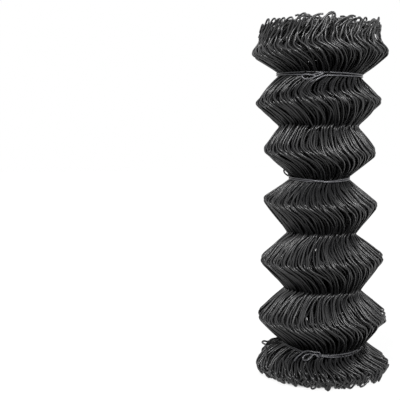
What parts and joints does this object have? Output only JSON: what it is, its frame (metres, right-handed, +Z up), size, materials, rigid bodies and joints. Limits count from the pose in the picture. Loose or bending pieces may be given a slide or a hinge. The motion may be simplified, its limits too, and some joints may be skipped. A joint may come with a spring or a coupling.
{
  "type": "roll of chain-link fencing",
  "caption": "Compact upright roll of black coated chain-link fence mesh, pleated into crowns and waists and bound with tie wires.",
  "frame": {"origin": "centre of the ring that the roll stands on, on the floor", "axes": "+Z up the axis of the roll, -Y towards the front, where the wraps of the ties are, +X to the right"},
  "size_m": [0.215, 0.215, 0.5556],
  "materials": {
    "coated_mesh": "satin black PVC coating over steel wire",
    "tie_wire": "satin black PVC coating over soft tie wire"
  },
  "bodies": {
    "root": {"fence_roll": "coated_mesh", "head_tie": "tie_wire", "middle_tie": "tie_wire", "foot_tie": "tie_wire"}
  },
  "joints": []
}
